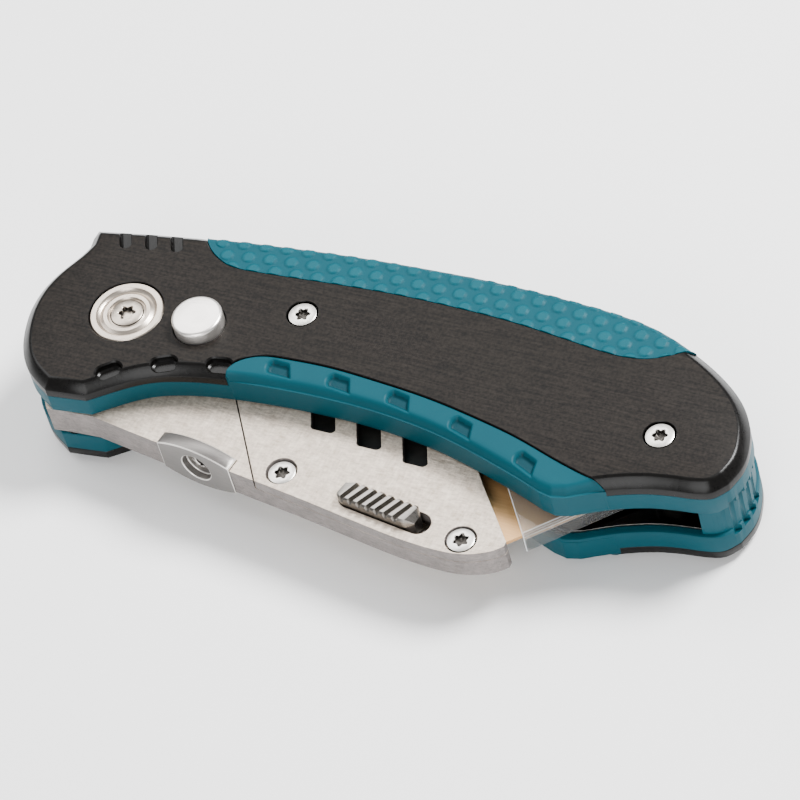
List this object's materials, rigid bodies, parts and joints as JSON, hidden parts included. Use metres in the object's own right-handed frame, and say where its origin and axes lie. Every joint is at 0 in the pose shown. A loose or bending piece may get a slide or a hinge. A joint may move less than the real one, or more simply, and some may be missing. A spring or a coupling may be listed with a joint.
{
  "type": "folding utility knife",
  "caption": "Folding utility knife, folded, with an arched two-tone handle, a hinged trapezoid-blade holder, a plunge lock button and a sliding blade release.",
  "frame": {"origin": "under the middle of the folded knife's box, on the rear scale's face", "axes": "+X from the pivot along the handle to the butt, +Y to the handle's arched back, +Z out of the front scale"},
  "size_m": [0.1216, 0.0472, 0.0209],
  "materials": {
    "scale_black": "anodised aluminium, near black, fine brushing along the handle",
    "grip_teal": "moulded teal grip, satin",
    "liner_steel": "steel, dark satin",
    "bright_steel": "turned steel, satin",
    "holder_steel": "satin steel with a fine brushed grain",
    "slider_steel": "darker satin steel",
    "blade_gold": "gold-coloured coated steel",
    "guard_clear": "clear moulded plastic",
    "bronze": "bearing bronze",
    "spring_steel": "spring wire"
  },
  "bodies": {
    "handle": {"rear_scale": "scale_black", "rear_grip": "grip_teal", "rear_liner": "liner_steel", "back_spacer": "grip_teal", "butt_block": "grip_teal", "spacer_dowels": "bright_steel", "front_liner": "liner_steel", "front_grip": "grip_teal", "front_scale": "scale_black", "pivot_barrel": "bright_steel", "pivot_cap_front": "bright_steel", "pivot_cap_rear": "bright_steel", "pivot_screw": "bright_steel", "pivot_washer_front": "bronze", "pivot_washer_rear": "bronze", "spacer_posts": "bright_steel", "front_screws": "bright_steel", "rear_screws": "bright_steel", "lock_spring": "spring_steel", "lock_seat": "liner_steel"},
    "lock_button": {"lock_plunger": "bright_steel", "lock_collar": "liner_steel"},
    "blade_holder": {"holder_frame": "holder_steel", "holder_cover": "holder_steel", "cover_screws": "bright_steel", "thumb_plate": "holder_steel", "thumb_screw": "bright_steel", "blade": "blade_gold", "blade_guard": "guard_clear", "release_spring": "spring_steel", "tang_bush": "bronze"},
    "blade_release": {"release_slider": "slider_steel", "release_catch": "slider_steel"}
  },
  "joints": [
    {"name": "blade_fold", "type": "hinge", "parent": "handle", "child": "blade_holder", "pos_m": [-0.04439, 0.00146, 0.0094], "axis": [0, 0, -1], "range_deg": [0, 180]},
    {"name": "lock_press", "type": "slide", "parent": "handle", "child": "lock_button", "axis": [0, 0, -1], "range_m": [0, 0.0018], "stiffness_N_per_m": 1200, "springref_m": -0.001, "deforming": ["lock_spring"]},
    {"name": "blade_release_slide", "type": "slide", "parent": "blade_holder", "child": "blade_release", "axis": [0.9907, -0.1357, 0], "range_m": [0, 0.0018], "stiffness_N_per_m": 500, "springref_m": -0.001}
  ]
}
